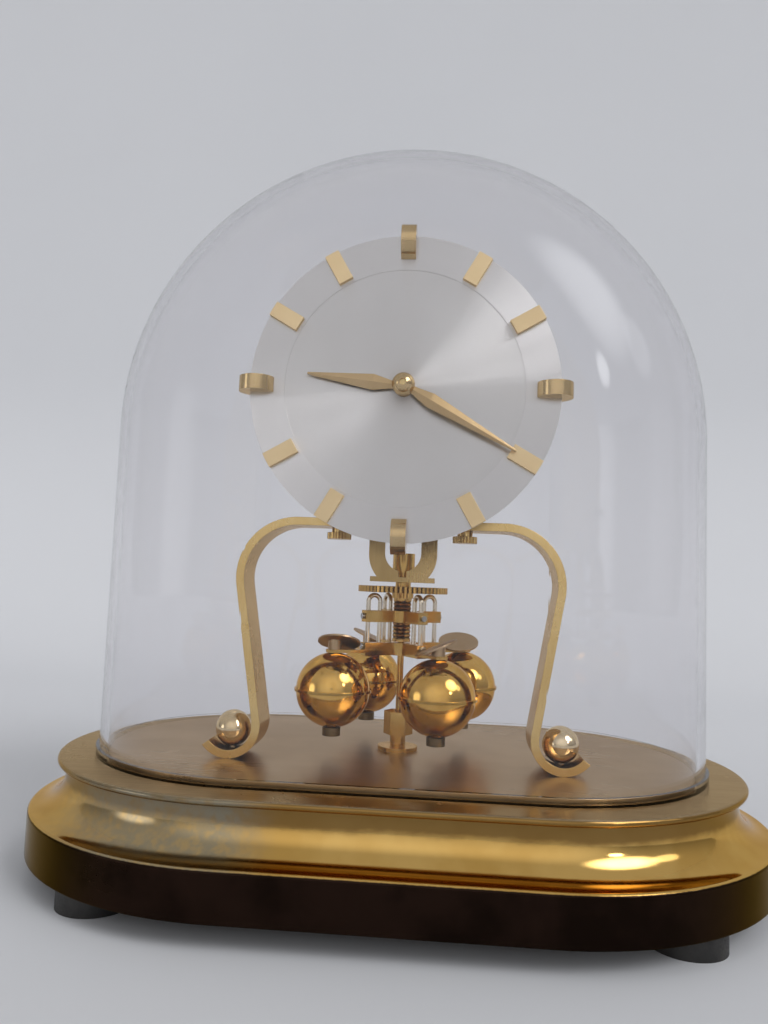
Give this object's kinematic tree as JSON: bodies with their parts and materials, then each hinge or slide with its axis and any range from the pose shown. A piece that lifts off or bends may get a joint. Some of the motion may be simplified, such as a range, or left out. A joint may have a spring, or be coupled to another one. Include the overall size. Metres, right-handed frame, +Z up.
{
  "type": "torsion pendulum clock",
  "caption": "Table clock under an oval glass dome: round dial on two bent legs over a slow rotary pendulum of polished balls, with a stepped oval brass base.",
  "frame": {"origin": "under the middle of the base, on the surface that the feet stand on", "axes": "+Z up, the dial faces -Y, +X to the right as seen from the front"},
  "size_m": [0.227, 0.146, 0.2298],
  "materials": {
    "base_brass": "polished and lacquered",
    "plate_brass": "brushed along its length",
    "leg_brass": "satin",
    "ball_brass": "mirror polished",
    "cap_brass": "satin, darkened",
    "pendulum_brass": "turned, bright",
    "movement_brass": "plain",
    "hand_brass": "satin",
    "dial_silver": "silvered, spin brushed",
    "dome_glass": "clear",
    "steel": "plain",
    "foot_black": "matt"
  },
  "bodies": {
    "frame": {"base_shell": "base_brass", "base_plate": "plate_brass", "feet": "foot_black", "foot_nuts": "steel", "guide_post": "pendulum_brass", "guide_nut": "steel", "leg_left": "leg_brass", "leg_right": "leg_brass", "leg_balls": "ball_brass", "leg_screws": "steel", "thumb_nuts": "leg_brass", "front_plate": "movement_brass", "back_plate": "movement_brass", "leg_blocks": "leg_brass", "pillars": "movement_brass", "plate_screws": "steel", "dial": "dial_silver", "dial_posts": "movement_brass", "dial_bars": "hand_brass", "dial_rolls": "hand_brass", "saddle": "pendulum_brass", "saddle_screws": "steel", "upper_block": "pendulum_brass", "suspension_ribbon": "steel", "yoke": "cap_brass", "yoke_screws": "steel"},
    "dome": {"glass_dome": "dome_glass"},
    "pendulum": {"lower_block": "pendulum_brass", "spindle": "pendulum_brass", "hairpins": "pendulum_brass", "lower_hub": "pendulum_brass", "lower_hub_screws": "steel", "balls": "ball_brass", "ball_bolts": "pendulum_brass", "ball_nuts": "cap_brass", "petal_caps": "cap_brass"},
    "regulating_disc": {"regulator": "pendulum_brass"},
    "travelling_hub": {"upper_hub": "pendulum_brass", "upper_hub_screws": "steel"},
    "centre": {"centre_wheel": "movement_brass", "cannon_pinion": "movement_brass", "minute_hand": "hand_brass", "hand_nut": "hand_brass"},
    "hour": {"hour_wheel": "movement_brass", "hour_hand": "hand_brass"},
    "minute_work": {"minute_wheel": "movement_brass"},
    "third": {"third_wheel": "movement_brass"},
    "second": {"second_wheel": "movement_brass"},
    "barrel": {"barrel": "movement_brass"},
    "fourth": {"fourth_wheel": "movement_brass"},
    "escape": {"escape_wheel": "movement_brass"},
    "anchor": {"anchor": "steel"},
    "fork": {"fork": "pendulum_brass"},
    "winding": {"winding_arbor": "steel", "ratchet_wheel": "movement_brass"},
    "click": {"click": "steel"}
  },
  "joints": [
    {"name": "dome_lift", "type": "slide", "parent": "frame", "child": "dome", "axis": [0, 0, 1], "range_m": [0, 0.22]},
    {"name": "pendulum_swing", "type": "hinge", "parent": "frame", "child": "pendulum", "pos_m": [0, 0, 0.0545], "axis": [0, 0, 1], "range_deg": [-165, 165], "stiffness_Nm_per_rad": 0.0001, "deforming": ["suspension_ribbon"]},
    {"name": "fork_twist", "type": "hinge", "parent": "frame", "child": "fork", "pos_m": [0, 0, 0.1776], "axis": [0, 0, 1], "range_deg": [-13.17, 13.17]},
    {"name": "anchor_rock", "type": "hinge", "parent": "frame", "child": "anchor", "pos_m": [0, -0.02, 0.1695], "axis": [0, 1, 0], "range_deg": [-5.2, 5.2]},
    {"name": "regulator_turn", "type": "hinge", "parent": "pendulum", "child": "regulating_disc", "pos_m": [0, 0, 0.0852], "axis": [0, 0, 1], "range_deg": [-360, 360]},
    {"name": "hub_travel", "type": "slide", "parent": "pendulum", "child": "travelling_hub", "axis": [0, 0, 1], "range_m": [-0.0013, 0.0013]},
    {"name": "minute_turn", "type": "hinge", "parent": "frame", "child": "centre", "pos_m": [0, -0.02, 0.1445], "axis": [0, 1, 0], "continuous": true},
    {"name": "hour_turn", "type": "hinge", "parent": "frame", "child": "hour", "pos_m": [0, -0.02, 0.1445], "axis": [0, 1, 0], "continuous": true},
    {"name": "minute_work_turn", "type": "hinge", "parent": "frame", "child": "minute_work", "pos_m": [0.0048, -0.02, 0.13618], "axis": [0, 1, 0], "continuous": true},
    {"name": "third_turn", "type": "hinge", "parent": "frame", "child": "third", "pos_m": [0.01015, -0.02, 0.13545], "axis": [0, 1, 0], "continuous": true},
    {"name": "second_turn", "type": "hinge", "parent": "frame", "child": "second", "pos_m": [0.00563, -0.02, 0.12178], "axis": [0, 1, 0], "continuous": true},
    {"name": "barrel_turn", "type": "hinge", "parent": "frame", "child": "barrel", "pos_m": [-0.00982, -0.02, 0.12592], "axis": [0, 1, 0], "continuous": true},
    {"name": "fourth_turn", "type": "hinge", "parent": "frame", "child": "fourth", "pos_m": [0.01114, -0.02, 0.15454], "axis": [0, 1, 0], "continuous": true},
    {"name": "escape_turn", "type": "hinge", "parent": "frame", "child": "escape", "pos_m": [0, -0.02, 0.159], "axis": [0, 1, 0], "continuous": true},
    {"name": "winding_turn", "type": "hinge", "parent": "frame", "child": "winding", "pos_m": [-0.00982, -0.02, 0.12592], "axis": [0, 1, 0], "continuous": true},
    {"name": "click_lift", "type": "hinge", "parent": "frame", "child": "click", "pos_m": [-0.00082, -0.02, 0.13392], "axis": [0, 1, 0], "range_deg": [0, 12], "stiffness_Nm_per_rad": 0.0001, "springref_deg": -11.46}
  ],
  "couplings": [
    {"joint": "fork_twist", "follows": "pendulum_swing", "ratio": 0.079771},
    {"joint": "anchor_rock", "follows": "pendulum_swing", "ratio": 0.031514},
    {"joint": "hub_travel", "follows": "regulator_turn", "m_per_rad": 0.00019894},
    {"joint": "hour_turn", "follows": "minute_turn", "ratio": 0.083333},
    {"joint": "minute_work_turn", "follows": "minute_turn", "ratio": -0.33333},
    {"joint": "third_turn", "follows": "minute_turn", "ratio": -0.13333},
    {"joint": "second_turn", "follows": "minute_turn", "ratio": 0.016667},
    {"joint": "barrel_turn", "follows": "minute_turn", "ratio": -0.0018519},
    {"joint": "fourth_turn", "follows": "minute_turn", "ratio": -4},
    {"joint": "escape_turn", "follows": "minute_turn", "ratio": 12}
  ]
}
